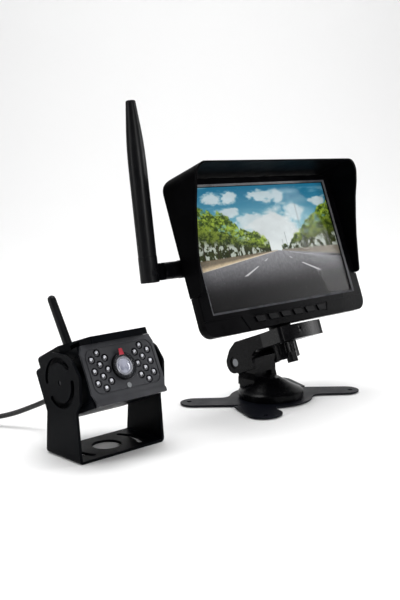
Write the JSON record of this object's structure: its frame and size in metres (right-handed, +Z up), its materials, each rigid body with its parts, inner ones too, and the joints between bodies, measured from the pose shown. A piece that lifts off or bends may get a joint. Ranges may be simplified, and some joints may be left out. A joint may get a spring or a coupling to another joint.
{
  "type": "vehicle backup camera kit",
  "caption": "Leaning video monitor with a slip-on sun hood and a folding antenna on a tilting dash stand, beside a box camera tilting in a U bracket with its own antenna and coiled lead.",
  "frame": {"origin": "centre of the monitor stand's round base, on the surface it stands on", "axes": "+X to the right of the monitor as it is looked at, +Y to the rear, away from the screen's face, +Z up"},
  "size_m": [0.3434, 0.1689, 0.2254],
  "materials": {
    "black_abs": "satin",
    "key_plastic": "satin",
    "hood_plastic": "semi-gloss",
    "rubber_black": "matte",
    "coated_steel": "satin",
    "grey_satin_metal": "satin",
    "steel_bright": "polished",
    "brass": "satin",
    "foam_tape": "matte",
    "screen_picture": "semi-gloss",
    "clear_glass": "gloss",
    "circuit_board": "satin",
    "component_black": "satin",
    "led_lens": "gloss",
    "pull_film": "gloss"
  },
  "bodies": {
    "stand": {"adhesive_pad": "foam_tape", "base_plate": "coated_steel", "base_screws": "steel_bright", "base_dome": "black_abs"},
    "arm": {"tilt_arm": "black_abs", "pivot_bolt": "steel_bright", "pivot_nut": "steel_bright", "pivot_washers": "steel_bright"},
    "knob": {"clamp_knob": "black_abs", "clamp_stud": "steel_bright"},
    "monitor": {"swivel_pad": "black_abs", "front_bezel": "black_abs", "rear_case": "black_abs", "screen_glass": "clear_glass", "lcd_panel": "screen_picture", "main_board": "circuit_board", "button_board": "circuit_board", "button_switches": "component_black", "speaker": "component_black", "stud_insert": "brass", "case_screws": "steel_bright", "power_inlet": "black_abs", "antenna_socket": "brass"},
    "hood": {"sun_hood": "hood_plastic"},
    "antenna_base": {"antenna_collar": "rubber_black", "antenna_pin": "steel_bright"},
    "antenna": {"antenna_rod": "rubber_black"},
    "bracket": {"camera_bracket": "coated_steel", "camera_cable": "rubber_black", "cable_coil": "rubber_black", "cable_tie": "component_black", "dc_connector": "component_black"},
    "camera": {"housing_body": "coated_steel", "housing_cap": "black_abs", "face_plate": "grey_satin_metal", "ir_leds": "led_lens", "led_board": "circuit_board", "lens_barrel": "component_black", "lens_ring": "component_black", "lens_glass": "clear_glass", "lens_film": "pull_film", "light_sensor": "led_lens", "sensor_board": "circuit_board", "radio_board": "circuit_board", "rear_cover": "coated_steel", "rear_gasket": "rubber_black", "rear_screws": "steel_bright", "pivot_pins": "steel_bright", "pivot_bushings": "component_black", "cable_gland": "component_black", "strain_relief": "rubber_black"},
    "camera_aerial": {"camera_antenna": "rubber_black"},
    "key_1": {"button_1": "key_plastic"},
    "key_2": {"button_2": "key_plastic"},
    "key_3": {"button_3": "key_plastic"},
    "key_4": {"button_4": "key_plastic"},
    "key_5": {"button_5": "key_plastic"},
    "key_6": {"button_6": "key_plastic"}
  },
  "joints": [
    {"name": "arm_tilt", "type": "hinge", "parent": "stand", "child": "arm", "pos_m": [0, 0.02415, 0.02703], "axis": [1, 0, 0], "range_deg": [-55, 12]},
    {"name": "monitor_pan", "type": "hinge", "parent": "arm", "child": "monitor", "pos_m": [0, -0.01056, 0.05772], "axis": [0, 0.3305, 0.9438], "range_deg": [-45, 45]},
    {"name": "knob_turn", "type": "hinge", "parent": "arm", "child": "knob", "pos_m": [0, -0.01056, 0.05772], "axis": [0, 0.3305, 0.9438], "continuous": true},
    {"name": "hood_slide", "type": "slide", "parent": "monitor", "child": "hood", "axis": [0, -0.9438, 0.3305], "range_m": [0, 0.045]},
    {"name": "antenna_turn", "type": "hinge", "parent": "monitor", "child": "antenna_base", "pos_m": [-0.1074, 0.01123, 0.10784], "axis": [1, 0, 0], "range_deg": [-100, 25]},
    {"name": "antenna_fold", "type": "hinge", "parent": "antenna_base", "child": "antenna", "pos_m": [-0.1074, 0.01123, 0.10784], "axis": [0, -0.9936, 0.1132], "range_deg": [0, 90]},
    {"name": "bracket_lift", "type": "slide", "parent": "stand", "child": "bracket", "axis": [0, 0, 1], "range_m": [0, 0.2]},
    {"name": "camera_tilt", "type": "hinge", "parent": "bracket", "child": "camera", "pos_m": [-0.1607, -0.0045, 0.0488], "axis": [1, 0, 0], "range_deg": [-30, 45]},
    {"name": "camera_antenna_turn", "type": "hinge", "parent": "camera", "child": "camera_aerial", "pos_m": [-0.1602, 0.03121, 0.05475], "axis": [0, 0.5098, 0.8603], "range_deg": [-180, 180]},
    {"name": "button_1_press", "type": "slide", "parent": "monitor", "child": "key_1", "axis": [0, 0.9438, -0.3305], "range_m": [0, 0.0004], "stiffness_N_per_m": 800, "springref_m": -0.0001},
    {"name": "button_2_press", "type": "slide", "parent": "monitor", "child": "key_2", "axis": [0, 0.9438, -0.3305], "range_m": [0, 0.0004], "stiffness_N_per_m": 800, "springref_m": -0.0001},
    {"name": "button_3_press", "type": "slide", "parent": "monitor", "child": "key_3", "axis": [0, 0.9438, -0.3305], "range_m": [0, 0.0004], "stiffness_N_per_m": 800, "springref_m": -0.0001},
    {"name": "button_4_press", "type": "slide", "parent": "monitor", "child": "key_4", "axis": [0, 0.9438, -0.3305], "range_m": [0, 0.0004], "stiffness_N_per_m": 800, "springref_m": -0.0001},
    {"name": "button_5_press", "type": "slide", "parent": "monitor", "child": "key_5", "axis": [0, 0.9438, -0.3305], "range_m": [0, 0.0004], "stiffness_N_per_m": 800, "springref_m": -0.0001},
    {"name": "button_6_press", "type": "slide", "parent": "monitor", "child": "key_6", "axis": [0, 0.9438, -0.3305], "range_m": [0, 0.0004], "stiffness_N_per_m": 800, "springref_m": -0.0001}
  ]
}
